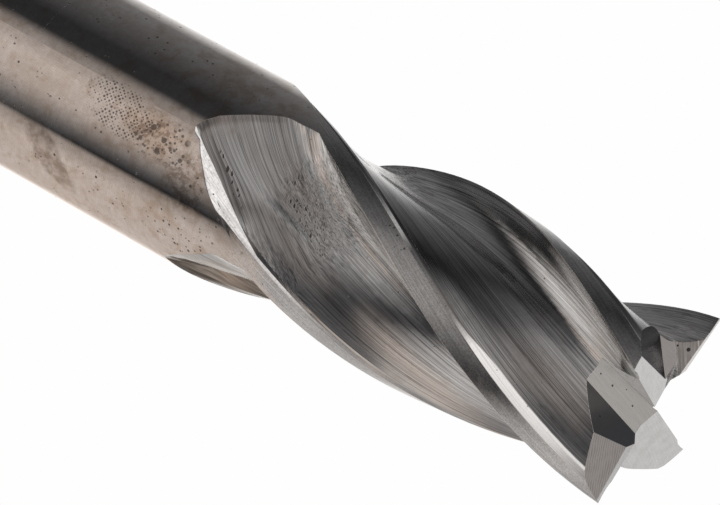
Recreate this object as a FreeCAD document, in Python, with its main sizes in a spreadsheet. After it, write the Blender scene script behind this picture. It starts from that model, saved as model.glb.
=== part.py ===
import FreeCAD, Part
import Sketcher
import math
import os

# Four-flute square end mill, right-hand cut, right-hand helix, plain shank with one clamping flat.
# Millimetres. The origin is the centre of the shank's back face. +Z runs along the axis towards
# the cutting end.
# Two pieces: the high-speed steel cutting head, and the alloy steel shank welded to its back.

V = FreeCAD.Vector
UP = V(0, 0, 1)
os.makedirs("parts", exist_ok=True)
doc = FreeCAD.newDocument("EndMill")

# ---------------------------------------------------------------- driving dimensions
# alias, value in millimetres or degrees, note
DIMENSIONS = [
    ("overall_length", 104.0, "back face to the corner of the teeth"),
    ("shank_dia", 20.0, "plain shank"),
    ("cut_dia", 20.0, "over the cutting edges"),
    ("weld_height", 36.0, "plane of the butt weld above the back face"),
    ("weld_dressing", 0.6, "length dressed on each side of the weld"),
    ("weld_relief", 0.004, "depth of the dressed seam at the weld"),
    ("back_chamfer", 1.0, "chamfer round the back face"),
    ("flat_height", 18.2, "across the shank at the clamping flat"),
    ("flat_centre", 25.0, "middle of the clamping flat from the back face"),
    ("flat_length", 11.0, "clamping flat along the axis"),
    ("flat_overcut", 2.0, "the flat's cut reaches this far outside the shank"),
    ("centre_pilot_dia", 2.5, "centre hole pilot"),
    ("centre_cone_dia", 5.3, "centre hole mouth"),
    ("centre_cone_angle", 60.0, "full angle of the centre hole mouth"),
    ("centre_pilot_depth", 5.0, "centre hole depth to the foot of the pilot's wall"),
    ("centre_tip_slope", 31.0, "slope of the pilot's conical bottom"),
    ("helix_lead", 116.2, "advance of the helix in one turn"),
    ("core_ratio", 0.545, "core radius over cutting radius"),
    ("land_arc", 12.6, "arc of the land behind each cutting edge, degrees"),
    ("heel_arc", 4.2, "arc of the heel bevel behind the land, degrees"),
    ("land_drop", 0.34, "radial drop of the land at its back"),
    ("heel_drop", 0.34, "further drop over the heel bevel"),
    ("exit_length", 15.0, "length over which the flute floor rises out of the bar"),
    ("heel_exit_length", 4.0, "the same on the heel side of the flute"),
    ("fluted_length", 52.5, "length of bar that the flutes are cut in"),
    ("fluted_overrun", 1.5, "the fluted bar stands this far past the end before grinding"),
    ("dish_angle", 2.0, "end edges fall towards the centre"),
    ("end_land", 0.75, "end land behind a short tooth's end edge"),
    ("end_land_radius", 7.0, "radius at which the end land is measured"),
    ("end_relief", 8.0, "end land angle"),
    ("end_clearance", 25.0, "angle behind the end land of a short tooth"),
    ("clearance_dish", 0.5, "the clearance behind a short end land falls inwards, degrees"),
    ("long_relief", 10.0, "end relief angle of a long tooth"),
    ("gash_reach", 1.5, "gashes may run this far past the axis"),
    ("gash_rake", 5.0, "faces under the end edges lean back, degrees"),
    ("gash_width", 2.95, "floor of the long gash"),
    ("gash_back", 30.0, "long gash back wall above the end plane, degrees"),
    ("gash_taper", 7.0, "long gash floor narrows outwards, degrees"),
    ("long_gash_angle", 35.0, "fall of the long gash floor from the end plane"),
    ("long_gash_start", -0.5, "long gash floor crosses the end plane this far past the axis"),
    ("short_gash_angle", 40.0, "fall of the short gash floors from the end plane"),
    ("short_gash_start", 2.1, "radius where the open gash floor meets the end plane"),
    ("narrow_gash_offset", 1.9, "the narrow gash starts this much further out"),
    ("narrow_gash_width", 1.8, "floor of the narrow gash"),
    ("narrow_gash_back", 75.0, "narrow gash back wall above the end plane, degrees"),
    ("open_gash_rake", 2.0, "face above the open gash leans back, degrees"),
    ("open_gash_tilt", -2.5, "rise of the open gash floor across it, degrees"),
    ("open_bevel_height", 1.25, "corner bevel above the open gash floor"),
    ("open_bevel_tilt", -52.0, "rise of the corner bevel across the gash, degrees"),
]
sheet = doc.addObject("Spreadsheet::Sheet", "Dimensions")
for row, (alias, value, note) in enumerate(DIMENSIONS, start=1):
    sheet.set("A%d" % row, alias.replace("_", " "))
    sheet.set("B%d" % row, "%g" % value)
    sheet.setAlias("B%d" % row, alias)
    sheet.set("C%d" % row, note)
doc.recompute()


def dim(alias):
    return float(sheet.get(alias))


def slope(alias):
    """Tangent of an angle in the sheet."""
    return math.tan(math.radians(dim(alias)))


def checked(obj):
    doc.recompute()
    if "Invalid" in obj.State or "Error" in obj.State:
        raise RuntimeError("%s failed: %s" % (obj.Label, obj.State))
    return obj


# ---------------------------------------------------------------- shank (PartDesign body)
OUTSIDE = 1.0  # the seam and centre hole profiles reach this far outside the shank
LEAST_SEAM, LEAST_FLAT, LEAST_HOLE = 0.03, 20, 10  # least volume each cut must remove

shank = doc.addObject("PartDesign::Body", "Shank")
shank.Label = "shank"


def shank_sketch(name, role):
    sketch = shank.newObject("Sketcher::SketchObject", name)
    base_plane = next(f for f in shank.Origin.OriginFeatures if f.Role == role)
    sketch.AttachmentSupport = [(base_plane, "")]
    sketch.MapMode = "FlatFace"
    return sketch


def polygon_sketch(name, role, corners):
    """Closed outline. Each corner is (across the axis, height up the axis)."""
    sketch = shank_sketch(name, role)
    count = len(corners)
    points = [V(x, y, 0) for x, y in corners]
    for i in range(count):
        sketch.addGeometry(Part.LineSegment(points[i], points[(i + 1) % count]), False)
    for i in range(count):
        sketch.addConstraint(Sketcher.Constraint("Coincident", i, 2, (i + 1) % count, 1))
    return sketch


def place_start(sketch, kind, line, value, expression):
    """Bind the distance from the origin to the start of a line."""
    index = sketch.addConstraint(Sketcher.Constraint(kind, -1, 1, line, 1, value))
    sketch.setExpression("Constraints[%d]" % index, "(%s) * 1mm" % expression)


def checked_cut(feature, before, least):
    checked(feature)
    if before.Shape.Volume - feature.Shape.Volume < least:
        raise RuntimeError("%s cut too little" % feature.Label)
    return feature


def groove(name, sketch, before, least):
    feature = shank.newObject("PartDesign::Groove", name)
    feature.Profile = sketch
    feature.ReferenceAxis = (sketch, ["V_Axis"])
    feature.Angle = 360.0
    return checked_cut(feature, before, least)


def make_bar():
    sketch = shank_sketch("ShankSection", "XY_Plane")
    sketch.addGeometry(Part.Circle(V(0, 0, 0), UP, dim("shank_dia") / 2), False)
    sketch.addConstraint(Sketcher.Constraint("Coincident", 0, 3, -1, 1))
    index = sketch.addConstraint(Sketcher.Constraint("Diameter", 0, dim("shank_dia")))
    sketch.setExpression("Constraints[%d]" % index, "Dimensions.shank_dia * 1mm")
    bar = shank.newObject("PartDesign::Pad", "Bar")
    bar.Profile = sketch
    bar.setExpression("Length", "Dimensions.weld_height * 1mm")
    return checked(bar)


def chamfer_back(bar):
    back_edges = [
        "Edge%d" % n
        for n, edge in enumerate(bar.Shape.Edges, start=1)
        if isinstance(edge.Curve, Part.Circle) and abs(edge.BoundBox.ZMax) < 1e-6
    ]
    chamfer = shank.newObject("PartDesign::Chamfer", "BackChamfer")
    chamfer.Base = (bar, back_edges)
    chamfer.setExpression("Size", "Dimensions.back_chamfer * 1mm")
    return checked(chamfer)


def cut_seam(before):
    """A very shallow cone running in to the weld. The profile carries its slope on past it."""
    radius, weld = dim("shank_dia") / 2, dim("weld_height")
    dressing, relief = dim("weld_dressing"), dim("weld_relief")
    sketch = polygon_sketch("SeamSection", "XZ_Plane", [
        (radius, weld - dressing),
        (radius + OUTSIDE, weld - dressing),
        (radius + OUTSIDE, weld + dressing),
        (radius - 2 * relief, weld + dressing),
    ])
    place_start(sketch, "DistanceX", 0, radius, "Dimensions.shank_dia / 2")
    place_start(sketch, "DistanceY", 0, weld - dressing,
                "Dimensions.weld_height - Dimensions.weld_dressing")
    return groove("WeldSeam", sketch, before, LEAST_SEAM)


def cut_flat(before):
    """The clamping flat, milled across the +Y side."""
    floor = dim("flat_height") - dim("shank_dia") / 2
    outer = dim("shank_dia") / 2 + dim("flat_overcut")
    low = dim("flat_centre") - dim("flat_length") / 2
    high = dim("flat_centre") + dim("flat_length") / 2
    sketch = polygon_sketch("FlatSection", "YZ_Plane",
                            [(floor, low), (outer, low), (outer, high), (floor, high)])
    for kind, line in (("Horizontal", 0), ("Horizontal", 2), ("Vertical", 1), ("Vertical", 3)):
        sketch.addConstraint(Sketcher.Constraint(kind, line))
    place_start(sketch, "DistanceX", 0, floor,
                "Dimensions.flat_height - Dimensions.shank_dia / 2")
    place_start(sketch, "DistanceY", 0, low,
                "Dimensions.flat_centre - Dimensions.flat_length / 2")
    place_start(sketch, "DistanceX", 1, outer,
                "Dimensions.shank_dia / 2 + Dimensions.flat_overcut")
    place_start(sketch, "DistanceY", 2, high,
                "Dimensions.flat_centre + Dimensions.flat_length / 2")
    flat = shank.newObject("PartDesign::Pocket", "ClampingFlat")
    flat.Profile = sketch
    flat.Type = 1  # through all
    flat.Midplane = True
    return checked_cut(flat, before, LEAST_FLAT)


def cut_centre_hole(before):
    """A countersink on a pilot in the back face."""
    pilot, mouth = dim("centre_pilot_dia") / 2, dim("centre_cone_dia") / 2
    depth = dim("centre_pilot_depth")
    cone_depth = (mouth - pilot) / math.tan(math.radians(dim("centre_cone_angle") / 2))
    sketch = polygon_sketch("CentreHoleSection", "XZ_Plane", [
        (0, -OUTSIDE),
        (mouth, -OUTSIDE),
        (mouth, 0),
        (pilot, cone_depth),
        (pilot, depth),
        (0, depth + pilot * slope("centre_tip_slope")),
    ])
    return groove("CentreHole", sketch, before, LEAST_HOLE)


shank.Tip = cut_centre_hole(cut_flat(cut_seam(chamfer_back(make_bar()))))
checked(shank)

# ---------------------------------------------------------------- flute section
CUT_R = dim("cut_dia") / 2
TOP = dim("overall_length")
CORE = dim("core_ratio")
TEETH = 4
PITCH = 360 / TEETH
# The loft stands a little above the bar, so the bar's own surface leaves a narrow margin
# at each edge.
EDGE_STAND = 0.02
OUTER = 1 + EDGE_STAND / CUT_R
FLUTE_POINTS, BEVEL_POINTS, LAND_POINTS = 41, 5, 9

# One flute in the plane square to the axis, (x, y) in cutting radii. x runs through this tooth's
# cutting edge, and the next tooth's edge lies on y. The face goes in from the edge with a hook,
# turns through the gullet and climbs the next tooth's back.
bevel_end = (1 - dim("land_drop") / CUT_R, PITCH - dim("land_arc"))
heel = (1 - (dim("land_drop") + dim("heel_drop")) / CUT_R,
        PITCH - dim("land_arc") - dim("heel_arc"))
heel_turn = math.radians(heel[1])
GULLET = [
    (OUTER, 0.0), (0.90, -0.020), (0.81, -0.022), (0.73, 0.000),
    (0.655, 0.042), (0.595, 0.105), (CORE + 0.018, 0.185), (CORE + 0.001, 0.285),
    (CORE - 0.042, 0.420), (0.434, 0.565), (0.364, 0.705),
    (heel[0] * math.cos(heel_turn), heel[0] * math.sin(heel_turn)),
]

# Where the flute runs out of the bar:
# degrees from the cutting edge, height from the end in cutting diameters
EXIT = [
    (-10.0, -1.93), (0.0, -2.03), (2.9, -2.07), (14.4, -2.172), (30.2, -2.284), (46.0, -2.394),
    (56.7, -2.448), (61.0, -2.462), (67.0, -2.43), (74.0, -2.33), (82.0, -2.15), (90.0, -2.03),
]
# The flute narrows on its heel side as it runs out:
# height from the end, turn of the heel towards the face in degrees
NARROWING = [(-60.0, 16.0), (-52.0, 13.5), (-49.0, 10.5), (-45.0, 4.5), (-41.0, 1.6),
             (-36.0, 0.0), (10.0, 0.0)]
# heights of the loft's sections from the end
SECTION_HEIGHTS = [2.0, -4.0, -10.0, -16.0, -22.0, -27.0, -31.0, -34.0, -36.5, -38.5, -40.3,
                   -42.0, -43.6, -45.2, -46.8, -48.4, -50.0, -51.6, -53.2]

# Ramps round the section: degrees from the cutting edge where the share is 0, and where it is 1
NARROW_RISE, NARROW_FALL = (25.0, 70.0), (90.0, 75.6)
HEEL_EXIT_RISE, HEEL_EXIT_FALL = (45.0, 63.0), (90.0, 82.0)
LIFT_AT_FACE, LIFT_AT_LAND = (9.0, 3.0), (76.5, 85.5)
LIFT_START = -32.0  # height from the end below which the edges are lifted
LIFT_RATE = 0.005  # lift per square millimetre of further height
LEAST_RISE_DEPTH = 0.10  # least depth, in radii, that sets the loft's climb below the exit


def ramp(at, zero_and_one):
    zero, one = zero_and_one
    return min(1.0, max(0.0, (at - zero) / (one - zero)))


def interpolated(table, at):
    for (a, value_a), (b, value_b) in zip(table, table[1:]):
        if at <= b:
            return value_a + (value_b - value_a) * (at - a) / (b - a)
    return table[-1][1]


def smooth_points(points, count):
    """Points at even steps along a smooth curve through the given ones."""
    curve = Part.BSplineCurve()
    curve.interpolate([V(x, y, 0) for x, y in points])
    first, last, length = curve.FirstParameter, curve.LastParameter, curve.length()
    inner = [curve.parameterAtDistance(length * i / (count - 1), first)
             for i in range(1, count - 1)]
    return [curve.value(u) for u in [first] + inner + [last]]


def even_steps(start, end, count):
    return [tuple(a + (b - a) * i / (count - 1) for a, b in zip(start, end))
            for i in range(count)]


# three lines per tooth, each point a (radius in cutting radii, degrees) pair
SECTION_LINES = [
    [(math.hypot(p.x, p.y), math.degrees(math.atan2(p.y, p.x)))
     for p in smooth_points(GULLET, FLUTE_POINTS)],
    even_steps(heel, bevel_end, BEVEL_POINTS),
    even_steps(bevel_end, (OUTER, PITCH), LAND_POINTS),
]


def narrowed(phi, height):
    share = ramp(phi, NARROW_RISE) * ramp(phi, NARROW_FALL)
    return phi - interpolated(NARROWING, height) * share


def radius_at(ratio, phi, height):
    """Section radius at an angle and a height from the end, rising to the bar at the exit."""
    depth = OUTER - ratio
    heel_share = ramp(phi, HEEL_EXIT_RISE) * ramp(phi, HEEL_EXIT_FALL)
    full = dim("exit_length")
    length = full + (dim("heel_exit_length") - full) * heel_share
    risen = (height - interpolated(EXIT, phi) * 2 * CUT_R) / length
    if risen < 0:
        depth = 2 * risen * max(depth, LEAST_RISE_DEPTH)
    elif risen < 1:
        depth = depth * (1 - (1 - risen) ** 2)
    # the relief behind the edges dies away before the flute does, leaving a full round margin
    near_edge = ramp(phi, LIFT_AT_FACE) + ramp(phi, LIFT_AT_LAND)
    lift = LIFT_RATE * near_edge * max(0.0, LIFT_START - height) ** 2
    return CUT_R * (OUTER - depth) + lift


def section_wire(height):
    turn = 360.0 * height / dim("helix_lead")
    edges = []
    for tooth in range(TEETH):
        for line in SECTION_LINES:
            points = []
            for ratio, angle in line:
                phi = narrowed(angle, height)
                a = math.radians(phi + PITCH * tooth + turn)
                radius = radius_at(ratio, phi, height)
                points.append(V(radius * math.cos(a), radius * math.sin(a), TOP + height))
            steps = len(points) - 1
            curve = Part.BSplineCurve()
            curve.interpolate(Points=points, Parameters=[i / steps for i in range(steps + 1)])
            edges.append(curve.toShape())
    return Part.Wire(edges)


# ---------------------------------------------------------------- head before end grinding
def bound_solid(kind, name, **expressions):
    """A cylinder or cone on the axis. base is the height of its lower face."""
    solid = doc.addObject("Part::" + kind, name)
    solid.setExpression("Placement.Base.z", "(%s) * 1mm" % expressions.pop("base"))
    for size, expression in expressions.items():
        solid.setExpression(size, "(%s) * 1mm" % expression)
    return solid


def combined(kind, name, base, tool):
    result = doc.addObject("Part::" + kind, name)
    result.Base = base
    result.Tool = tool
    return result


def make_head_blank():
    form = Part.makeLoft([section_wire(h) for h in SECTION_HEIGHTS], True, False, False)
    # a loft through this many twisted sections can come out with loose tolerances
    if not form.isValid():
        form.fix(1e-4, 1e-4, 1e-3)
    fluted = doc.addObject("Part::Feature", "FlutedForm")
    fluted.Shape = form
    checked(fluted)

    bar = bound_solid(
        "Cylinder", "FlutedBlank",
        Radius="Dimensions.cut_dia / 2",
        Height="Dimensions.fluted_length + Dimensions.fluted_overrun",
        base="Dimensions.overall_length - Dimensions.fluted_length")
    neck = bound_solid(
        "Cylinder", "PlainBar",
        Radius="Dimensions.shank_dia / 2",
        Height="Dimensions.overall_length - Dimensions.fluted_length"
               " - Dimensions.weld_height - Dimensions.weld_dressing",
        base="Dimensions.weld_height + Dimensions.weld_dressing")
    cone = bound_solid(
        "Cone", "SeamCone",
        Radius1="Dimensions.shank_dia / 2 - Dimensions.weld_relief",
        Radius2="Dimensions.shank_dia / 2",
        Height="Dimensions.weld_dressing",
        base="Dimensions.weld_height")
    plain = checked(combined("Fuse", "PlainBack", cone, neck))
    teeth = checked(combined("Common", "FlutedBar", bar, fluted))
    joined = combined("Fuse", "HeadBlank", plain, teeth)
    joined.Refine = True
    return checked(joined)


# ---------------------------------------------------------------- end grinding
DISH = math.radians(dim("dish_angle"))
CENTRE = V(0, 0, TOP - CUT_R * math.tan(DISH))  # where the end edges would meet on the axis
BLOCK_WIDTH, BLOCK_HEIGHT, BLOCK_BELOW = 40, 30, 18  # block round the end, and its depth below it
HALF_SPACE = 100  # reach of the boxes that stand for half spaces


def tooth_frame(angle):
    """Directions out along a tooth's end edge, and round ahead of it."""
    a = math.radians(angle)
    return V(math.cos(a), math.sin(a), 0), V(-math.sin(a), math.cos(a), 0)


def upward(normal):
    return normal if normal.z > 0 else normal * -1


def wedge(planes):
    """The part of a block round the end on the inner side of every (point, inward normal)."""
    corner = V(-BLOCK_WIDTH / 2, -BLOCK_WIDTH / 2, TOP - BLOCK_BELOW)
    block = Part.makeBox(BLOCK_WIDTH, BLOCK_WIDTH, BLOCK_HEIGHT, corner)
    for point, normal in planes:
        away = Part.makeBox(2 * HALF_SPACE, 2 * HALF_SPACE, HALF_SPACE,
                            V(-HALF_SPACE, -HALF_SPACE, -HALF_SPACE))
        turn = FreeCAD.Rotation(UP, V(normal).normalize())
        away.Placement = FreeCAD.Placement(point, turn)
        block = block.cut(away)
    return block


def end_relief(angle, long_tooth):
    """The spaces above one tooth's end relief, in the quarter behind its end edge."""
    out, ahead = tooth_frame(angle)

    def above(point, dish, fall):
        along = out * math.cos(dish) + UP * math.sin(dish)
        back = ahead * -math.cos(fall) - UP * math.sin(fall)
        return wedge([(CENTRE, out), (CENTRE, ahead * -1), (point, upward(along.cross(back)))])

    if long_tooth:
        return [above(CENTRE, DISH, math.radians(dim("long_relief")))]
    width, radius = dim("end_land"), dim("end_land_radius")
    land_back = (CENTRE + out * radius + UP * (radius * math.tan(DISH))
                 - ahead * width - UP * (width * slope("end_relief")))
    clearance_dish = math.radians(dim("clearance_dish"))
    return [
        above(CENTRE, DISH, math.radians(dim("end_relief"))),
        above(land_back, clearance_dish, math.radians(dim("end_clearance"))),
    ]


def gash(angle, fall, start, rake, surfaces):
    """A slot ahead of one tooth's end edge, falling outwards into the flute.

    surfaces: (offset across the slot, height, rise across in degrees, turn in plan in degrees)
    """
    out, ahead = tooth_frame(angle)
    edge = out * math.cos(DISH) + UP * math.sin(DISH)
    lean = math.radians(rake)
    face = ahead * math.cos(lean) - UP * math.sin(lean)
    face = face - edge * face.dot(edge)
    drop = math.radians(fall)
    floor_run = out * math.cos(drop) - UP * math.sin(drop)
    base = CENTRE + out * start
    planes = [(CENTRE, face)]
    for offset, height, rise, turn in surfaces:
        tilt = math.radians(rise)
        across = ahead * math.cos(tilt) + UP * math.sin(tilt)
        run = floor_run - ahead * math.tan(math.radians(turn))
        planes.append((base + ahead * offset + UP * height, upward(run.cross(across))))
    planes.append((CENTRE - out * dim("gash_reach"), out))
    return wedge(planes)


def end_tools():
    tools = []
    for angle, long_tooth in ((0, True), (90, False), (180, True), (270, False)):
        tools.extend(end_relief(angle, long_tooth))
    # long teeth: a flat floor with a wide back wall that thins the short tooth beside it
    for angle in (0, 180):
        tools.append(gash(
            angle, dim("long_gash_angle"), dim("long_gash_start"), dim("gash_rake"),
            [(0, 0, 0, 0), (dim("gash_width"), 0, dim("gash_back"), dim("gash_taper"))]))
    # short tooth at 90 degrees: a narrow slot
    tools.append(gash(
        90, dim("short_gash_angle"), dim("short_gash_start") + dim("narrow_gash_offset"),
        dim("gash_rake"),
        [(0, 0, 0, 0), (dim("narrow_gash_width"), 0, dim("narrow_gash_back"), 0)]))
    # short tooth at 270 degrees: a wide open floor, with a bevelled corner under the face
    tools.append(gash(
        270, dim("short_gash_angle"), dim("short_gash_start"), dim("open_gash_rake"),
        [(0, 0, dim("open_gash_tilt"), 0),
         (0, dim("open_bevel_height"), dim("open_bevel_tilt"), 0)]))
    return tools


def make_head():
    shape = make_head_blank().Shape
    tools = end_tools()
    grinding = doc.addObject("Part::Feature", "EndGrinding")
    grinding.Shape = Part.makeCompound(tools)
    for tool in tools:
        shape = shape.cut(tool)
    piece = doc.addObject("Part::Feature", "CuttingHead")
    # grinding may leave loose slivers, so only the largest solid is kept
    piece.Shape = max(shape.Solids, key=lambda solid: solid.Volume)
    piece.Label = "cutting_head"
    return checked(piece)


head = make_head()

# ---------------------------------------------------------------- export
doc.recompute()
for obj in doc.Objects:
    if "Invalid" in obj.State or "Error" in obj.State:
        raise RuntimeError("%s: %s" % (obj.Label, obj.State))
for piece in (shank, head):
    if piece.Shape.isNull() or not piece.Shape.isValid():
        raise RuntimeError("%s has a bad shape" % piece.Label)
    piece.Shape.exportStep("parts/%s.step" % piece.Label)
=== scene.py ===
import math

import bpy
from mathutils import Matrix, Vector

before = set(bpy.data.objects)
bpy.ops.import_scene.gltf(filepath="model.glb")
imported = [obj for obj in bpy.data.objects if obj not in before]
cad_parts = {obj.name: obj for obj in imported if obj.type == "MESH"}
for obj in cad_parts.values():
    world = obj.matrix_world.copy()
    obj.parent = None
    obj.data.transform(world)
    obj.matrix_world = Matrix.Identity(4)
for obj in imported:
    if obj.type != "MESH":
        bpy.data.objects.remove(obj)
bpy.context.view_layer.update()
scene = bpy.context.scene

# ---------------------------------------------------------------- tool
TOP = 0.104
LEAD = 0.1162  # rise of the flutes' helix in one full turn
MM = 1000  # millimetres in a metre
TURN_RATE = 2 * math.pi / (LEAD * MM)  # radians per millimetre of height
BAR_RADIUS = 10.0  # millimetres
DEGREES = 180 / math.pi

# ---------------------------------------------------------------- view
# The camera looks down on the tip, rolled so that the tool points to the right of the picture.
BEARING = 0.198603937  # round the tool from +x, radians
TILT = 0.436752850  # above the horizontal
ROLL = 0.507545714
DISTANCE = 0.484007417
TIP_RIGHT, TIP_DOWN = 0.0265574824, 0.0140228002  # the tip's place from the centre of the view
LENS, SENSOR = 272.653783, 36.0  # millimetres

UP = Vector((0, 0, 1))
TOWARDS = Vector((math.cos(BEARING), math.sin(BEARING), 0))  # level, from the tool to the viewer
SIDE = UP.cross(TOWARDS)  # level, to the right of an upright viewer


def add_camera():
    back = math.cos(TILT) * TOWARDS + math.sin(TILT) * UP
    rise = math.cos(TILT) * UP - math.sin(TILT) * TOWARDS
    right = math.cos(ROLL) * rise - math.sin(ROLL) * SIDE
    down = math.sin(ROLL) * rise + math.cos(ROLL) * SIDE
    data = bpy.data.cameras.new("view")
    data.sensor_fit = "HORIZONTAL"
    data.sensor_width = SENSOR
    data.lens = LENS
    data.clip_start, data.clip_end = 0.01, 20
    camera = bpy.data.objects.new("view", data)
    scene.collection.objects.link(camera)
    pose = Matrix((right, -down, back)).transposed().to_4x4()
    pose.translation = Vector((0, 0, TOP)) + DISTANCE * back - TIP_RIGHT * right - TIP_DOWN * down
    camera.matrix_world = pose
    scene.camera = camera


add_camera()
scene.view_settings.view_transform = "Standard"
scene.view_settings.look = "None"


# ---------------------------------------------------------------- node helpers
class Value:
    """An output socket. Arithmetic on it adds math nodes, and | is the larger of two masks."""

    def __init__(self, nodes, socket):
        self.nodes = nodes
        self.socket = socket

    def math(self, operation, *others):
        return self.nodes.math(operation, self, *others)

    def __add__(self, other):
        return self.math("ADD", other)

    def __sub__(self, other):
        return self.math("SUBTRACT", other)

    def __rsub__(self, other):
        return self.nodes.math("SUBTRACT", other, self)

    def __mul__(self, other):
        return self.math("MULTIPLY", other)

    def __or__(self, other):
        return self.math("MAXIMUM", other)

    def dot(self, other):
        return self.nodes.vector("DOT_PRODUCT", {0: self, 1: other}, "Value")

    def length(self):
        return self.nodes.vector("LENGTH", {0: self}, "Value")

    def unit(self):
        return self.nodes.vector("NORMALIZE", {0: self})

    def scale(self, factor):
        return self.nodes.vector("SCALE", {0: self, "Scale": factor})

    def plus(self, other):
        return self.nodes.vector("ADD", {0: self, 1: other})

    def minus(self, other):
        return self.nodes.vector("SUBTRACT", {0: self, 1: other})

    def split(self):
        node = self.nodes.add("ShaderNodeSeparateXYZ", {0: self})
        return [Value(self.nodes, socket) for socket in node.outputs]

    def turn_z(self, angle):
        inputs = {"Vector": self, "Angle": angle}
        return self.nodes.value("ShaderNodeVectorRotate", inputs, rotation_type="Z_AXIS")

    def span(self, low, high, to=(0.0, 1.0), **props):
        """Map low..high onto the range `to`, held at its ends."""
        inputs = {"Value": self, "From Min": low, "From Max": high, "To Min": to[0], "To Max": to[1]}
        return self.nodes.value("ShaderNodeMapRange", inputs, **props)

    def step(self, start, end):
        """0 at start, 1 at end, smooth between; start may be above end."""
        to = (1.0, 0.0) if start > end else (0.0, 1.0)
        return self.span(min(start, end), max(start, end), to, interpolation_type="SMOOTHSTEP")

    def ramp(self, stops):
        """Colour ramp; each stop is a position and a colour or a grey level."""
        node = self.nodes.add("ShaderNodeValToRGB", {0: self})
        elements = node.color_ramp.elements
        while len(elements) > 1:
            elements.remove(elements[-1])
        for i, (position, colour) in enumerate(stops):
            element = elements[0] if i == 0 else elements.new(position)
            element.position = position
            if not hasattr(colour, "__len__"):
                colour = (colour, colour, colour)
            element.color = (*colour, 1)
        return Value(self.nodes, node.outputs[0])

    def mix(self, amount, other):
        """This colour or vector, turned into the other by amount."""
        return self.nodes.mix(amount, self, other)

    def lerp(self, start, end):
        """The number this share of the way from start to end."""
        return self.nodes.value("ShaderNodeMix", {0: self, 2: start, 3: end}, data_type="FLOAT")

    def noise(self, scale, detail, rough, distortion=0.0):
        inputs = {"Vector": self, "Scale": scale, "Detail": detail, "Roughness": rough,
                  "Distortion": distortion}
        return self.nodes.value("ShaderNodeTexNoise", inputs, "Fac")

    def spots(self, scale, share, small, big, soft=0.08, randomness=1.0, flat=False):
        """Round spots of radius small to big in that share of the cells."""
        inputs = {"Vector": self, "Scale": scale, "Randomness": randomness}
        cells = self.nodes.add("ShaderNodeTexVoronoi", inputs,
                               voronoi_dimensions="2D" if flat else "3D")
        pick, size, _ = Value(self.nodes, cells.outputs["Color"]).split()
        distance = Value(self.nodes, cells.outputs["Distance"])
        inside = (size.span(0.0, 1.0, to=(small, big)) - distance).step(0.0, soft)
        return inside * pick.math("LESS_THAN", share)


class Nodes:
    """Fills a node tree. Node inputs are given by name or number, as Values or constants."""

    def __init__(self, tree):
        self.tree = tree
        tree.nodes.clear()

    def add(self, kind, inputs, **props):
        node = self.tree.nodes.new(kind)
        for name, setting in props.items():
            setattr(node, name, setting)
        for key, value in inputs.items():
            socket = node.inputs[key]
            if isinstance(value, Value):
                self.tree.links.new(value.socket, socket)
            elif socket.type == "RGBA":
                socket.default_value = (*value, 1)
            else:
                socket.default_value = value
        return node

    def value(self, kind, inputs, output=0, **props):
        return Value(self, self.add(kind, inputs, **props).outputs[output])

    def math(self, operation, *operands):
        return self.value("ShaderNodeMath", dict(enumerate(operands)), operation=operation)

    def vector(self, operation, inputs, output="Vector"):
        return self.value("ShaderNodeVectorMath", inputs, output, operation=operation)

    def combine(self, x, y, z):
        return self.value("ShaderNodeCombineXYZ", {0: x, 1: y, 2: z})

    def mix(self, amount, first, second):
        inputs = {0: amount, 6: first, 7: second}
        return self.value("ShaderNodeMix", inputs, 2, data_type="RGBA", blend_type="MIX")

    def mix_shader(self, amount, first, second):
        return self.value("ShaderNodeMixShader", {0: amount, 1: first, 2: second})


# ---------------------------------------------------------------- studio light
# A white table below and to the viewer's side, a dark card above, a softbox in front and below,
# open studio behind. The levels are rough: only where a card starts, ends or fades.
STEEL = 0.62  # share of light that polished steel reflects
SOFT = (1.0, 0.945, 0.905)
PALE = (1.0, 0.97, 0.95)
WARM = (1.0, 0.86, 0.775)
DARK_TINT = (-0.01, -0.01, 0.04)  # added to the tint of unlit parts
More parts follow.
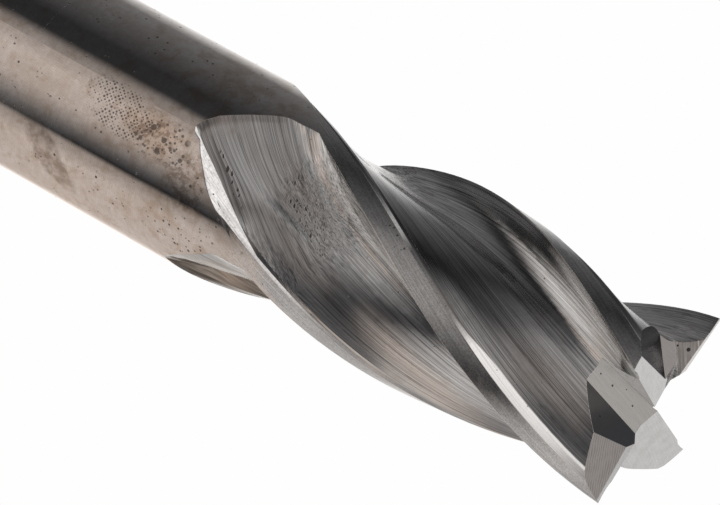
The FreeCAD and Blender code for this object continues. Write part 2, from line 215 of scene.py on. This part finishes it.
# Rows: height in degrees, tint, then (bearing in degrees from the viewer, positive to the side
# SIDE, brightness from 0 to 255 that polished steel shows there).
ROWS = [
    (-78, SOFT, [(-180, 100), (-50, 80), (20, 20), (55, 80), (180, 100)]),
    (-69, SOFT, [(-180, 100), (-60, 80), (-25, 20), (50, 140), (100, 70), (140, 70), (180, 100)]),
    (-60, SOFT, [(-180, 100), (-110, 100), (-65, 80), (-40, 20), (-25, 30), (-15, 110), (5, 160),
                 (25, 180), (45, 160), (85, 70), (110, 50), (180, 100)]),
    (-46, SOFT, [(-180, 100), (-70, 80), (-55, 40), (-40, 30), (-15, 140), (0, 180), (20, 200),
                 (35, 170), (130, 70), (180, 100)]),
    (-37, SOFT, [(-180, 150), (-150, 110), (-100, 90), (-60, 30), (-45, 30), (-35, 60),
                 (-30, 120), (-10, 170), (25, 150), (110, 150), (160, 100), (180, 150)]),
    (-28, WARM, [(-180, 240), (-130, 100), (-60, 40), (-40, 40), (-30, 120), (-5, 170),
                 (20, 160), (45, 80), (50, 60), (55, 30), (60, 130), (80, 170), (150, 170),
                 (180, 240)]),
    (-21, PALE, [(-180, 200), (-130, 80), (-75, 40), (-40, 70), (-30, 120), (5, 150), (20, 130),
                 (45, 60), (55, 50), (65, 120), (80, 160), (140, 160), (180, 200)]),
    (-14, PALE, [(-180, 130), (-155, 90), (-85, 40), (-50, 90), (-40, 120), (0, 130), (40, 50),
                 (50, 50), (75, 150), (100, 170), (125, 140), (145, 150), (180, 130)]),
    (-2, WARM, [(-180, 90), (-160, 40), (-100, 20), (-60, 50), (-45, 90), (-10, 110), (5, 100),
                (20, 50), (30, 50), (60, 150), (90, 160), (120, 90), (130, 90), (155, 160),
                (180, 190)]),
    (12, SOFT, [(-180, 200), (-135, 40), (-110, 50), (-85, 140), (-35, 120), (-5, 60), (50, 70),
                (65, 140), (95, 140), (120, 110), (180, 200)]),
    (27, PALE, [(-180, 190), (-165, 160), (-140, 50), (-120, 50), (-100, 100), (-90, 190),
                (-80, 220), (-20, 160), (100, 120), (180, 190)]),
    (37, SOFT, [(-180, 180), (-140, 40), (-110, 40), (-90, 150), (-65, 210), (-30, 220),
                (50, 200), (75, 140), (100, 120), (180, 180)]),
    (56, PALE, [(-180, 150), (-145, 120), (-100, 140), (-60, 210), (20, 210), (60, 190),
                (90, 140), (180, 150)]),
    (72, WARM, [(-180, 140), (-145, 130), (-90, 160), (180, 140)]),
]


def linear_light(brightness):
    """Linear light for an sRGB brightness from 0 to 255."""
    share = brightness / 255.0
    return share / 12.92 if share <= 0.04045 else ((share + 0.055) / 1.055) ** 2.4


def lamp_colour(brightness, tint, bearing):
    """Linear colour of a card: dark ones stay neutral, lit white takes its row's tint."""
    lit = min(max((brightness - 50) / 80, 0), 1)
    # less tint on the side away from SIDE and in the brightest parts
    warm = (lit if bearing > -60 else 0.25 * lit) * (1 if brightness < 180 else 0.45)
    tints = [1 + (part - 1) * warm + dark * (1 - lit) for part, dark in zip(tint, DARK_TINT)]
    level = linear_light(brightness) / STEEL / (sum(tints) / 3)
    return [level * part for part in tints]


def world_light():
    """The studio as reflections see it; the camera itself sees plain white."""
    world = bpy.data.worlds.new("studio")
    scene.world = world
    world.use_nodes = True
    nodes = Nodes(world.node_tree)
    direction = nodes.value("ShaderNodeTexCoord", {}, "Generated").unit()
    bearing = direction.dot(SIDE).math("ARCTAN2", direction.dot(TOWARDS))
    turn = bearing.math("MULTIPLY_ADD", 1 / (2 * math.pi), 0.5)
    height = direction.dot(UP).math("ARCSINE") * DEGREES
    colour = None
    for i, (row_height, tint, stops) in enumerate(ROWS):
        row = turn.ramp([((angle + 180) / 360, lamp_colour(brightness, tint, angle))
                         for angle, brightness in stops])
        if colour is None:
            colour = row
        else:
            colour = colour.mix(height.span(ROWS[i - 1][0], row_height), row)
    seen = nodes.value("ShaderNodeLightPath", {}, "Is Camera Ray")
    studio = nodes.value("ShaderNodeBackground", {"Color": colour, "Strength": 1.0})
    white = nodes.value("ShaderNodeBackground", {"Color": (0.98, 0.98, 0.98)})
    nodes.add("ShaderNodeOutputWorld", {0: nodes.mix_shader(seen, studio, white)})


world_light()

# ---------------------------------------------------------------- floor
FLOOR_HALF = 6.0
FLOOR_DROP = 0.00002  # keeps the floor just clear of the shank end


def add_floor():
    """Evenly pale, seen by the camera only."""
    half = FLOOR_HALF
    mesh = bpy.data.meshes.new("floor")
    corners = [(-half, -half, 0), (half, -half, 0), (half, half, 0), (-half, half, 0)]
    mesh.from_pydata(corners, [], [(0, 1, 2, 3)])
    floor = bpy.data.objects.new("floor", mesh)
    scene.collection.objects.link(floor)
    floor.location.z = -FLOOR_DROP
    material = bpy.data.materials.new("pale_floor")
    material.use_nodes = True
    nodes = Nodes(material.node_tree)
    glow = nodes.value("ShaderNodeEmission", {"Color": (0.99, 0.99, 0.99), "Strength": 1.0})
    nodes.add("ShaderNodeOutputMaterial", {0: glow})
    mesh.materials.append(material)
    floor.visible_glossy = False
    floor.visible_diffuse = False
    floor.visible_shadow = False


add_floor()

# ---------------------------------------------------------------- steel
# Directions in which flat ground faces of the cutting end look
DULL_FACE = (0.7001, -0.459, 0.547)
BLUE_FACE = (0.0334, -0.6424, 0.7656)
BURNT_FACE = (0.4693, -0.4415, 0.7647)
WORN_FACE = (0.5736, 0.0, 0.8192)
OPEN_FACE = (0.9994, -0.001, -0.035)
STRIPED_FACE = (0.423, -0.008, 0.906)
STEEP_FACES = [(0.003, 0.996, -0.087), (0.033, -0.642, 0.766), OPEN_FACE]

WELD_HEIGHT = 36.0
FLUTE_RADIUS = 8.2  # where flute marks are laid out
STRIPE_PITCH = 0.27
# Single pits in the end faces: centre, radius
END_PITS = [
    ((-0.03, -6.14, 103.13), 0.22), ((-0.06, -5.99, 102.02), 0.11), ((3.91, 0.87, 100.56), 0.13),
    ((5.3, 0.72, 99.58), 0.10), ((1.5, 1.12, 102.24), 0.12), ((2.72, 0.33, 101.4), 0.07),
]


class Steel(Nodes):
    """Ground tool steel, with the values that tell where on the tool a point lies."""

    def __init__(self, name):
        self.material = bpy.data.materials.new(name)
        self.material.use_nodes = True
        super().__init__(self.material.node_tree)
        self.place = self.value("ShaderNodeTexCoord", {}, "Object").scale(1000.0)
        self.x, self.y, self.z = self.place.split()
        self.outward = self.combine(self.x, self.y, 0.0).unit()
        self.radius = self.combine(self.x, self.y, 0.0).length()
        self.facing = self.value("ShaderNodeNewGeometry", {}, "Normal")
        self.radial = self.facing.dot(self.outward)
        self.upward = self.facing.dot((0, 0, 1))
        # the place with the helix untwisted, and its angle in degrees within one of four quarters
        untwisted = self.place.turn_z((self.z - TOP * MM) * -TURN_RATE)
        self.flat_x, self.flat_y, self.flat_z = untwisted.split()
        angle = self.flat_y.math("ARCTAN2", self.flat_x) * DEGREES
        self.angle = angle.math("FLOORED_MODULO", 90.0)

    def blob(self, centre, radius, soft=0.5, wobble=0.0, along=None, stretch=1.0):
        """1 inside a rough patch round a point, 0 at its rim; it may be longer along one axis."""
        place = self.place
        if wobble:
            inputs = {"Vector": place, "Scale": 1.6 / radius, "Detail": 3}
            noise = self.value("ShaderNodeTexNoise", inputs, "Color")
            place = place.plus(noise.minus((0.5, 0.5, 0.5)).scale(wobble * radius * 2))
        offset = place.minus(centre)
        if along:
            axis = Vector(along).normalized()
            excess = offset.dot(axis) * (1 - 1 / stretch)
            offset = offset.minus(self.vector("SCALE", {0: axis, "Scale": excess}))
        return offset.length().step(radius, radius * (1 - soft))

    def helix(self, across, along):
        """Noise place that follows the helix, in features per millimetre."""
        return self.combine(self.flat_x * across, self.flat_y * across, self.flat_z * along)

    def facet(self, direction, tight=0.9985):
        """1 on faces that look in a direction."""
        return self.facing.dot(direction).step(tight, tight + (1 - tight) * 0.7)

    def metal(self, tone, rough, height, normal, anisotropy=0.0):
        """Metal shader; height is in millimetres and makes the bumps."""
        bumps = {"Strength": 1.0, "Distance": 0.001, "Height": height, "Normal": normal}
        inputs = {"Base Color": tone, "Metallic": 1.0, "Roughness": rough,
                  "Normal": self.value("ShaderNodeBump", bumps)}
        if anisotropy:
            swirl = self.combine(self.y * -1.0, self.x, 0.0).scale(TURN_RATE).plus((0, 0, 1))
            inputs["Anisotropic"] = anisotropy
            inputs["Anisotropic Rotation"] = 0.25
            inputs["Tangent"] = swirl.unit()
        return self.value("ShaderNodeBsdfPrincipled", inputs)

    def rounded(self, radius):
        """Normal with edges worn to a radius in metres, except at the flush weld; and the edges."""
        worn = self.value("ShaderNodeBevel", {"Radius": radius}, samples=4)
        seam = (self.z - WELD_HEIGHT).math("ABSOLUTE").step(1.0, 0.8) * self.radial.step(0.9, 0.95)
        edge = worn.dot(self.facing).step(0.985, 0.93) * (1.0 - seam)
        return worn.mix(seam, self.outward).unit(), edge

    def finish(self, shader):
        self.add("ShaderNodeOutputMaterial", {0: shader})
        return self.material


# In each finish, tone is the metal's colour, painted over mask by mask.
def bar_finish(steel, normal):
    """Handled round bar: fine hoops, oil stains, specks and the print of a packing mesh."""
    place, x, y, z = steel.place, steel.x, steel.y, steel.z
    arc = y.math("ARCTAN2", x) * BAR_RADIUS
    weave = (((arc + z * 0.9) * 15.0).math("SINE")
             * ((arc * -0.9 + z) * 15.0).math("SINE"))
    hoops = steel.combine(x * 0.25, y * 0.25, z * 9.0).noise(scale=1.0, detail=3, rough=0.6)
    cloud = place.noise(scale=0.22, detail=4, rough=0.55)
    mottle = place.noise(scale=1.3, detail=5, rough=0.64)
    fine = place.noise(scale=8.0, detail=3, rough=0.65)
    grit = place.noise(scale=3.4, detail=3, rough=0.6)
    wipe = steel.combine(x * 0.28, y * 0.28, z * 2.2).noise(scale=1.0, detail=4, rough=0.62)
    tone = cloud.ramp([(0.32, (0.72, 0.70, 0.69)), (0.46, (0.76, 0.75, 0.745)),
                       (0.58, (0.68, 0.65, 0.62)), (0.7, (0.75, 0.735, 0.73))])
    tone = tone.mix(wipe.span(0.36, 0.66, to=(0.0, 0.30)), (0.56, 0.52, 0.49))
    tone = tone.mix(mottle.span(0.42, 0.74, to=(0.0, 0.50)), (0.50, 0.44, 0.39))
    # brown oil film, thickest near the flutes
    film = place.noise(scale=0.55, detail=5, rough=0.6, distortion=0.4)
    film = (film + z.step(38.0, 60.0) * 0.10).step(0.54, 0.72)
    tone = tone.mix(film * 0.55, (0.46, 0.37, 0.29))
    # a smear wiped across the bar
    smear = steel.blob((5.5, 8.2, 41.9), radius=1.85, soft=0.30, wobble=0.30,
                       along=(-0.50, 0.55, 0.67), stretch=2.7)
    streaks = place.noise(scale=1.0, detail=4, rough=0.6)
    smear = smear * streaks.span(0.35, 0.62, to=(0.25, 1.0))
    tone = tone.mix(smear * 0.88, (0.28, 0.235, 0.195))
    # a rusty patch and dried drips beside the run-out
    patch = steel.blob((9.7, 2.2, 51.6), radius=3.1, soft=0.75, wobble=0.5,
                       along=(0, 0.1, 1), stretch=1.5)
    rust = patch * place.noise(scale=1.4, detail=5, rough=0.68).step(0.46, 0.58)
    tone = tone.mix(patch * 0.40, (0.66, 0.50, 0.37))
    tone = tone.mix(rust * 0.80, (0.24, 0.175, 0.135))
    drip = steel.blob((8.95, 4.4, 56.6), radius=3.6, soft=0.5, wobble=0.6)
    drip = drip * place.noise(scale=1.5, detail=5, rough=0.66).step(0.46, 0.58)
    tone = tone.mix(drip * 0.70, (0.27, 0.215, 0.175))
    # marks printed by packing mesh: small dots on a slanted grid
    grid = steel.combine(arc * 0.62 + z * 0.78, arc * -0.78 + z * 0.62, 0.0)
    dots = grid.spots(scale=3.1, share=0.90, small=0.18, big=0.44, soft=0.16,
                      randomness=0.34, flat=True)
    zone = steel.blob((9.8, 1.75, 47.4), radius=2.35, soft=0.30, wobble=0.35,
                      along=(0.0, 0.18, 1.0), stretch=2.1)
    zone = zone * place.noise(scale=0.55, detail=2, rough=0.5).step(0.30, 0.38)
    dots = dots * zone
    # dried drops over the rusty patch
    drops = (place.spots(scale=1.15, share=0.9, small=0.20, big=0.46, soft=0.10)
             | place.spots(scale=2.1, share=0.7, small=0.20, big=0.42, soft=0.10))
    drops = drops * steel.blob((9.7, 2.2, 52.6), radius=2.5, soft=0.35, wobble=0.5,
                               along=(0, 0.12, 1), stretch=1.7)
    # scattered specks in groups
    group = place.noise(scale=0.40, detail=3, rough=0.6).step(0.47, 0.56)
    specks = place.spots(scale=1.35, share=0.38, small=0.05, big=0.20, soft=0.07) * group
    group = place.noise(scale=0.75, detail=3, rough=0.6).step(0.54, 0.63)
    group = group | steel.blob((5.4, 8.3, 57.5), radius=2.6, soft=0.4, wobble=0.5,
                               along=(0, 0, 1), stretch=2.0)
    dense = place.spots(scale=2.3, share=0.55, small=0.14, big=0.40, soft=0.10) * group
    tone = tone.mix(weave.span(-0.2, 0.9, to=(0.0, 0.22)), (0.40, 0.35, 0.31))
    tone = tone.mix(dots * 0.85, (0.16, 0.125, 0.10))
    tone = tone.mix(drops * 0.80, (0.17, 0.135, 0.115))
    tone = tone.mix(specks * 0.82, (0.13, 0.105, 0.09))
    tone = tone.mix(dense * 0.88, (0.11, 0.09, 0.08))
    tone = tone.mix(fine.span(0.42, 0.72, to=(0.0, 0.26)), (0.42, 0.37, 0.34))
    tone = tone.mix(grit.span(0.50, 0.75, to=(0.0, 0.30)), (0.44, 0.38, 0.33))
    marks = dots | drops | specks | dense
    rough = mottle.span(0.3, 0.7, to=(0.030, 0.065)) + (film | smear | patch) * 0.05 + marks * 0.3
    waves = place.noise(scale=0.8, detail=2, rough=0.5)
    height = hoops * 0.00045 + fine * 0.0004 + waves * 0.003 - marks * 0.004
    return steel.metal(tone, rough, height, normal)


def flute_finish(steel, normal):
    """Ground flute: lines along the helix, light and dark streaks, rows of coolant pits."""
    place, z = steel.place, steel.z
    # where the flute floor climbs out of the bar the lines keep their place round the tool,
    # whatever the depth
    swing = steel.combine(steel.flat_x, steel.flat_y, 0.0)
    swing = swing.turn_z((70.0 - z.math("MINIMUM", 70.0)) * math.radians(2.0))
    east, north, _ = swing.unit().split()
    reach = z.step(74.0, 62.0).lerp(steel.radius, FLUTE_RADIUS)
    line_x, line_y = east * reach, north * reach
    arc = north.math("ARCTAN2", east) * FLUTE_RADIUS

    def along(across, length):
        return steel.combine(line_x * across, line_y * across, z * length)

    def rolled_out(across, length):
        return steel.combine(arc * across, z * length, 0.0)

    lines = along(across=5.6, length=0.022).noise(scale=1.0, detail=4, rough=0.72)
    hair = along(across=12.0, length=0.09).noise(scale=1.0, detail=2, rough=0.6)
    bands = along(across=1.2, length=0.020).noise(scale=1.0, detail=3, rough=0.55)
    wisps = along(across=3.0, length=0.20).noise(scale=1.0, detail=3, rough=0.6, distortion=0.3)
    cloud = place.noise(scale=0.35, detail=3, rough=0.55)
    tone = bands.ramp([(0.30, (0.52, 0.515, 0.51)), (0.5, (0.64, 0.635, 0.63)),
                       (0.7, (0.74, 0.735, 0.73))])
    tone = tone.mix(lines.step(0.48, 0.36) * 0.80, (0.17, 0.17, 0.17))
    tone = tone.mix(lines.step(0.55, 0.66) * 0.85, (1.0, 0.99, 0.98))
    tone = tone.mix(hair.step(0.53, 0.66) * 0.60, (1.0, 0.99, 0.98))
    tone = tone.mix(hair.step(0.47, 0.34) * 0.60, (0.16, 0.16, 0.16))
    tone = tone.mix(wisps.step(0.57, 0.70) * 0.40, (0.95, 0.94, 0.93))
    tone = tone.mix(cloud.step(0.52, 0.72) * 0.25, (0.52, 0.44, 0.38))
    # painted reflection: a tan patch on the far flute stands in for warm light reflected there,
    # streaked by the wisps
    warm_reflection_patch = steel.blob((-2.5, 9.4, 59.5), radius=8.0, soft=0.45, wobble=0.3)
    warm_reflection_tones = steel.mix(wisps.step(0.42, 0.60), (0.30, 0.245, 0.20), (0.62, 0.53, 0.45))
    tone = tone.mix(warm_reflection_patch * 0.85, warm_reflection_tones)
    # pits: a broad band down the middle of the run-out and a row beside the heel, some elsewhere
    band = steel.blob((6.75, 1.15, 67.6), radius=1.75, soft=0.40, wobble=0.40,
                      along=(-0.22, 0.58, 0.80), stretch=3.0)
    gaps = place.noise(scale=0.6, detail=2, rough=0.5)
    band = band * gaps.span(0.35, 0.6, to=(0.55, 1.0))
    row = steel.blob((8.17, 1.75, 59.5), radius=0.46, soft=0.30, wobble=0.15,
                     along=(-0.14, 0.62, 0.77), stretch=9.0)
    large = rolled_out(1.45, 1.9).spots(scale=1.0, share=0.62, small=0.14, big=0.34, soft=0.08,
                                        randomness=0.85, flat=True)
    small = rolled_out(2.7, 3.4).spots(scale=1.0, share=0.40, small=0.14, big=0.36, soft=0.10,
                                       randomness=0.95, flat=True)
    even = rolled_out(1.2, 1.55).spots(scale=1.0, share=0.95, small=0.16, big=0.34, soft=0.08,
                                       randomness=0.6, flat=True)
    scatter = place.noise(scale=0.35, detail=2, rough=0.5).step(0.48, 0.58)
    loose = place.spots(scale=1.6, share=0.18, small=0.05, big=0.17, soft=0.06)
    pits = large * band | small * band | even * row | loose * scatter
    tone = tone.mix(pits * 0.90, (0.085, 0.08, 0.075))
    rough = bands.span(0.3, 0.7, to=(0.10, 0.15)) + pits * 0.3
    height = lines * 0.0060 + hair * 0.0016 + bands * 0.012 - pits * 0.012
    return steel.metal(tone, rough, height, normal, anisotropy=0.35)


def land_finish(steel, normal):
    """Cylinder land: coarse, mottled and dull beside the flutes, with ripples along the edge."""
    place = steel.place
    grain = place.noise(scale=6.5, detail=4, rough=0.65)
    mottle = place.noise(scale=1.6, detail=4, rough=0.6)
    stripe = steel.helix(across=6.0, along=0.10).noise(scale=1.0, detail=3, rough=0.6)
    tone = grain.ramp([(0.34, (0.48, 0.46, 0.45)), (0.5, (0.64, 0.63, 0.62)),
                       (0.66, (0.78, 0.77, 0.76))])
    tone = tone.mix(mottle.span(0.42, 0.72, to=(0.0, 0.40)), (0.46, 0.43, 0.41))
    tone = tone.mix(stripe.step(0.54, 0.68) * 0.45, (0.90, 0.89, 0.88))
    tone = tone.mix(stripe.step(0.46, 0.34) * 0.35, (0.34, 0.33, 0.33))
    pitted = steel.blob((9.85, 0.2, 77.4), radius=1.5, soft=0.4, wobble=0.4,
                        along=(0, 0.3, 1), stretch=1.8)
    pits = (place.spots(scale=2.4, share=0.5, small=0.12, big=0.34, soft=0.10) * pitted
            | place.spots(scale=1.0, share=0.14, small=0.04, big=0.13, soft=0.05))
    tone = tone.mix(pits * 0.85, (0.12, 0.115, 0.11))
    rough = grain.span(0.3, 0.7, to=(0.10, 0.17)) + pits * 0.3
    height = grain * 0.0035 + stripe * 0.0045 - pits * 0.008
    return steel.metal(tone, rough, height, normal)


def heel_finish_and_highlight(steel, normal):
    """Bevel ground behind each land: a bright tone, partly its ground finish and partly painted
    highlight, with lines along it and a bitten edge.
    """
    lines = steel.helix(across=7.0, along=0.12).noise(scale=1.0, detail=3, rough=0.65)
    grain = steel.place.noise(scale=4.0, detail=4, rough=0.65)
    tone = lines.ramp([(0.36, (0.56, 0.545, 0.54)), (0.5, (0.74, 0.725, 0.715)),
                       (0.64, (0.88, 0.87, 0.86))])
    calm = steel.z.step(86.0, 90.0)  # smoother near the end
    bites = grain.span(0.50, 0.72, to=(0.0, 0.70)) * calm.span(0.0, 1.0, to=(1.0, 0.25))
    tone = tone.mix(bites, (0.36, 0.34, 0.33))
    tone = tone.mix(calm * 0.5, (0.66, 0.65, 0.64))
    pits = steel.place.spots(scale=1.6, share=0.25, small=0.06, big=0.20, soft=0.06)
    tone = tone.mix(pits * 0.85, (0.14, 0.13, 0.125))
    rough = grain.span(0.3, 0.7, to=(0.12, 0.20)) + pits * 0.3
    height = lines * 0.004 + grain * 0.002 - pits * 0.008
    return steel.metal(tone, rough, height, normal)


def end_finish(steel, normal):
    """Gashes and end relief: flat facets with short straight brush lines and a few pits."""
    place = steel.place
    across = place.dot((0.10, 0.985, -0.14))
    along = place.dot((0.86, -0.02, -0.50))
    brush = steel.combine(across * 6.5, along * 0.35, 0.0).noise(scale=1.0, detail=3, rough=0.6)
    fine = place.noise(scale=6.0, detail=4, rough=0.6)
    soft = place.noise(scale=0.9, detail=3, rough=0.55)
    tone = soft.ramp([(0.35, (0.62, 0.61, 0.60)), (0.5, (0.67, 0.665, 0.66)),
                      (0.65, (0.70, 0.695, 0.69))])
    tone = tone.mix(brush.span(0.40, 0.65, to=(0.0, 0.20)), (0.44, 0.43, 0.42))
    tone = tone.mix(fine.span(0.45, 0.72, to=(0.0, 0.20)), (0.42, 0.41, 0.40))
    # facets with a tone of their own
    tone = tone.mix(steel.facet(DULL_FACE) * 0.8, (0.36, 0.315, 0.30))
    tone = tone.mix(steel.facet(BLUE_FACE) * 0.9, (0.17, 0.18, 0.21))
    burnt = steel.z.span(98.0, 104.0).ramp([
        (0.0, (0.30, 0.29, 0.28)), (0.45, (0.23, 0.225, 0.22)),
        (0.55, (0.17, 0.17, 0.175)), (0.8, (0.15, 0.155, 0.17))])
    tone = tone.mix(steel.facet(BURNT_FACE) * 0.95, burnt)
    rubbed = steel.combine(across * 5.0, along * 0.4, 0.0).noise(scale=1.0, detail=3, rough=0.55)
    rubbed = rubbed.ramp([(0.36, (0.425, 0.415, 0.40)), (0.5, (0.445, 0.44, 0.425)),
                          (0.64, (0.47, 0.465, 0.45))])
    tone = tone.mix(steel.facet(WORN_FACE) * 0.95, rubbed)
    # upright brush lines on the open face of the second short tooth's gash
    is_open = steel.facet(OPEN_FACE)
    beside = place.dot((0.03, -0.575, 0.818))
    upright = steel.combine(beside * 5.5, steel.y * 0.3, 0.0)
    upright = upright.noise(scale=1.0, detail=3, rough=0.65)
    tone = tone.mix(is_open * upright.span(0.38, 0.62, to=(0.0, 0.65)), (0.30, 0.29, 0.285))
    tone = tone.mix(is_open * upright.step(0.42, 0.34), (0.92, 0.90, 0.89))
    # coarse stripes left by the wheel on the face of the short tooth's gash
    is_striped = steel.facet(STRIPED_FACE)
    wavy = soft.math("MULTIPLY_ADD", 0.35, place.dot((-0.769, -0.532, 0.354)))
    stripe = (wavy * (2 * math.pi / STRIPE_PITCH)).math("SINE").span(-0.5, 0.9)
    worn = place.noise(scale=1.2, detail=2, rough=0.5).span(0.35, 0.65, to=(0.35, 1.0))
    tone = tone.mix(is_striped * 0.6, (0.66, 0.60, 0.575))
    tone = tone.mix(is_striped * (stripe * worn) * 0.50, (0.27, 0.235, 0.225))
    pits = place.spots(scale=0.75, share=0.22, small=0.05, big=0.15, soft=0.05)
    for centre, radius in END_PITS:
        pits = pits | steel.blob(centre, radius, soft=0.35)
    tone = tone.mix(pits * 0.92, (0.085, 0.08, 0.08))
    rough = fine.span(0.3, 0.7, to=(0.13, 0.19)) + pits * 0.3 + steel.facet(BURNT_FACE) * 0.22
    height = brush * 0.0014 + fine * 0.0008 + is_open * (upright * 0.002) - pits * 0.012
    return steel.metal(tone, rough, height, normal)


def shank_material():
    steel = Steel("ground_shank_steel")
    normal, _ = steel.rounded(0.00007)
    return steel.finish(bar_finish(steel, normal))


def heel_masks(steel, start):
    """The heel, how brightly it shines, and the rim of bar beside it where a flute starts."""
    z, radius, angle = steel.z, steel.radius, steel.angle
    # angle at which the heel begins: it is broad at the flute's start, a thin line along the
    # middle, and broad again at the end
    low = (z - 55.0).math("MULTIPLY_ADD", 1.3, 61.0)
    low = start.lerp(74.9, low).math("MINIMUM", 74.9)
    low = low - z.step(86.0, 92.5) * 3.2
    inner = (angle - low).step(0.0, 0.5)
    rim = (z - 56.0).math("MULTIPLY_ADD", -0.055, radius).step(9.68, 9.76)
    rim = rim * z.step(63.5, 62.0) * z.step(54.0, 55.0) * angle.step(62.5, 64.0) * start
    inner = inner * (steel.radial.step(0.985, 0.955) | z.step(60.0, 61.0)) * (1.0 - rim)
    heel = (inner * angle.step(77.9, 77.2) * radius.step(8.6, 8.75) * z.step(54.0, 55.0)
            * (steel.upward.step(0.36, 0.30) | z.step(70.0, 68.0)))
    shine = z.span(50.0, 104.0).ramp([
        (0.0, 1), (0.20, 1), (0.25, 0.95), (0.48, 0.85), (0.55, 0.1), (0.66, 0.15), (0.74, 1)])
    return heel, shine.split()[0], rim


def head_material():
    steel = Steel("ground_cutter_steel")
    z, radius, angle, radial = steel.z, steel.radius, steel.angle, steel.radial
    normal, edge = steel.rounded(0.00008)
    start = steel.blob((9.3, 1.5, 57.4), radius=11.0, soft=0.1)  # round one flute's start
    heel, shine, rim = heel_masks(steel, start)
    # heels and worn edges catch light from above
    lift = heel * shine * z.step(58.0, 60.0) * 0.42 | edge * 0.34
    normal = normal.plus(steel.combine(0.0, 0.0, lift)).unit()
    # the relief behind each cutting edge starts gradually, so near the bar a land shines as it does
    land = angle.step(76.9, 77.5) * radius.step(9.5, 9.6) * z.step(71.0, 65.0)
    land = land * radial.step(0.78, 0.86) | rim
    normal = normal.mix(land, steel.outward)
    # the broad heel leans the same way over its width, and the run-out beside it is nearly flat
    wide = heel * z.step(61.5, 59.5) * angle.step(76.8, 76.0) * start
    normal = normal.mix(wide * 0.80, (0.743, -0.399, 0.537))
    run_out = steel.blob((8.5, 0.0, 59.6), radius=6.6, soft=0.5) * (1.0 - (heel | rim))
    run_out = run_out * radius.step(9.85, 9.6) * z.step(68.0, 64.0) * angle.step(78.5, 77.5)
    normal = normal.mix(run_out * 0.70, (0.991, 0.108, 0.079))
    # the wheel left this gash leaning a little towards the corner
    lean = steel.vector("SCALE", {0: (0.26, 0.12, 0.0), "Scale": steel.facet(WORN_FACE)})
    normal = normal.plus(lean).unit()
    # the round bar and the lands stand at full radius and face outwards
    outer = radius.step(9.25, 9.45) * radial.step(0.90, 0.955) | heel | land
    wavy = steel.place.noise(scale=0.8, detail=3, rough=0.6).math("MULTIPLY_ADD", 5.0, z)
    coarse = wavy.step(62.0, 69.0)
    end = steel.upward.step(0.36, 0.44) * z.step(88.0, 90.0)
    for direction in STEEP_FACES:
        end = end | steel.facet(direction, tight=0.9998) * z.step(92.0, 94.0)
    round_part = steel.mix_shader(coarse, bar_finish(steel, normal), land_finish(steel, normal))
    body = steel.mix_shader(outer, flute_finish(steel, normal), round_part)
    # painted highlight: the heel's bright tone is mixed in as strongly as the heel shines at each
    # height
    bright = heel * shine.span(0.0, 1.0, to=(0.25, 1.0))
    body = steel.mix_shader(bright, body, heel_finish_and_highlight(steel, normal))
    return steel.finish(steel.mix_shader(end, body, end_finish(steel, normal)))


for name, build in (("cutting_head", head_material), ("shank", shank_material)):
    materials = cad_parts[name].data.materials
    materials.clear()
    materials.append(build())

bpy.context.view_layer.update()
